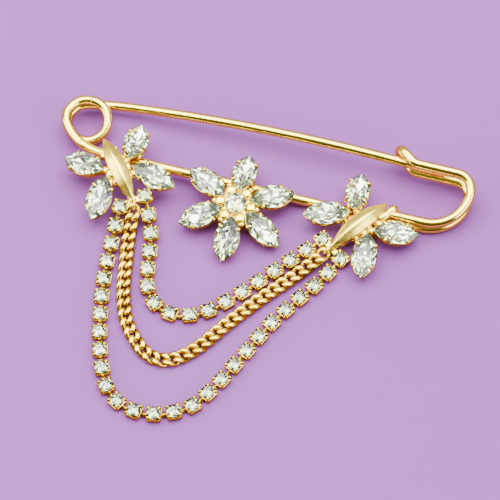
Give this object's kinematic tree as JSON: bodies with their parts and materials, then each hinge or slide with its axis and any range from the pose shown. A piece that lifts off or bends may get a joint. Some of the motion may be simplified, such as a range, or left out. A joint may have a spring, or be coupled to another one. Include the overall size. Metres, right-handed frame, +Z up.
{
  "type": "safety pin brooch",
  "caption": "Sprung safety pin brooch with stone-set butterflies and a flower on its bar, and chains hung between the butterflies.",
  "frame": {"origin": "on the surface that the brooch lies on, under the middle of its bounding box", "axes": "+X along the pin's bar from the spring coil to the U bend, +Y from the hung chains towards the pin's arm, +Z up from the surface through the face of the jewel"},
  "size_m": [0.0713, 0.0578, 0.0065],
  "materials": {
    "gold": "polished",
    "crystal": "polished"
  },
  "bodies": {
    "brooch": {"frame_wire": "gold", "left_butterfly": "gold", "flower": "gold", "right_butterfly": "gold", "left_wing_stone_1": "crystal", "left_wing_stone_2": "crystal", "left_wing_stone_3": "crystal", "left_wing_stone_4": "crystal", "left_tail_stone_1": "crystal", "left_tail_stone_2": "crystal", "right_wing_stone_1": "crystal", "right_wing_stone_2": "crystal", "right_wing_stone_3": "crystal", "right_wing_stone_4": "crystal", "right_tail_stone_1": "crystal", "right_tail_stone_2": "crystal", "petal_stone_1": "crystal", "petal_stone_2": "crystal", "petal_stone_3": "crystal", "petal_stone_4": "crystal", "petal_stone_5": "crystal", "petal_stone_6": "crystal", "centre_stone": "crystal", "outer_strand_cups": "gold", "outer_strand_stones": "crystal", "inner_strand_cups": "gold", "inner_strand_stones": "crystal", "curb_chain": "gold"},
    "arm": {"pin_arm": "gold"}
  },
  "joints": [
    {"name": "pin_spring", "type": "hinge", "parent": "brooch", "child": "arm", "pos_m": [-0.03151, 0.02212, 0.0033], "axis": [0.0312, -0.1045, 0.994], "range_deg": [-2.8, 0], "stiffness_Nm_per_rad": 0.05, "springref_deg": 20.05}
  ]
}
